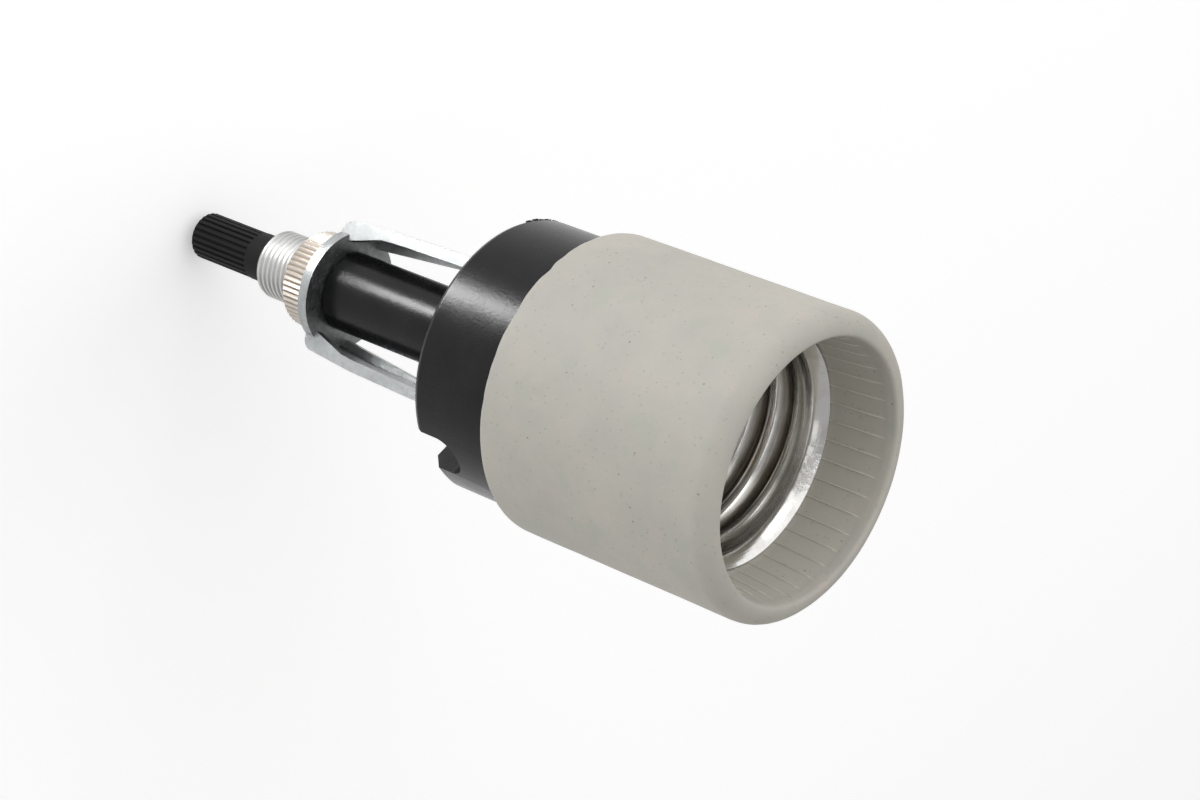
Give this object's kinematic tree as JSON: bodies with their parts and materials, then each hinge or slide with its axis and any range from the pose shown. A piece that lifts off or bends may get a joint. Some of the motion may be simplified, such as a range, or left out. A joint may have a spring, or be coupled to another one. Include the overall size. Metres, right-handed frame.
{
  "type": "turn knob lamp socket",
  "caption": "Porcelain lamp holder with a threaded metal shell, black switch housing, steel yoke bracket, threaded nipple with knurled nut and splined switch shaft.",
  "frame": {"origin": "on the axis at the lock nut's outer face, where the free end of the threaded nipple begins", "axes": "+Z along the axis towards the bulb mouth, X through the two legs of the bracket"},
  "size_m": [0.0376, 0.0374, 0.0999],
  "materials": {
    "porcelain": "unglazed, matte",
    "shell_metal": "bright",
    "black_moulding": "satin",
    "zinc_sheet": "zinc plated",
    "nickel": "nickel-plated steel",
    "steel": "plain",
    "brass": "plain",
    "fibre": "vulcanised fibre"
  },
  "bodies": {
    "socket": {"porcelain_body": "porcelain", "screw_shell": "shell_metal", "switch_housing": "black_moulding", "bracket": "zinc_sheet", "threaded_nipple": "nickel", "bracket_screws": "steel", "assembly_screws": "steel", "line_terminal": "brass", "neutral_terminal": "brass", "terminal_screws": "brass", "lamp_contact": "brass", "center_contact": "brass", "contact_insulator": "fibre", "center_contact_rivet": "brass", "insulating_disc": "fibre", "friction_washer": "brass", "detent_spring": "steel"},
    "switch_shaft": {"knob_shaft": "black_moulding", "switch_rotor": "black_moulding", "contact_wiper": "brass", "shaft_retaining_ring": "steel"},
    "lock_nut": {"lock_nut": "nickel"}
  },
  "joints": [
    {"name": "knob_turn", "type": "hinge", "parent": "socket", "child": "switch_shaft", "pos_m": [0, 0, 0], "axis": [0, 0, 1], "continuous": true},
    {"name": "lock_nut_travel", "type": "slide", "parent": "socket", "child": "lock_nut", "axis": [0, 0, -1], "range_m": [0, 0.0064]}
  ]
}
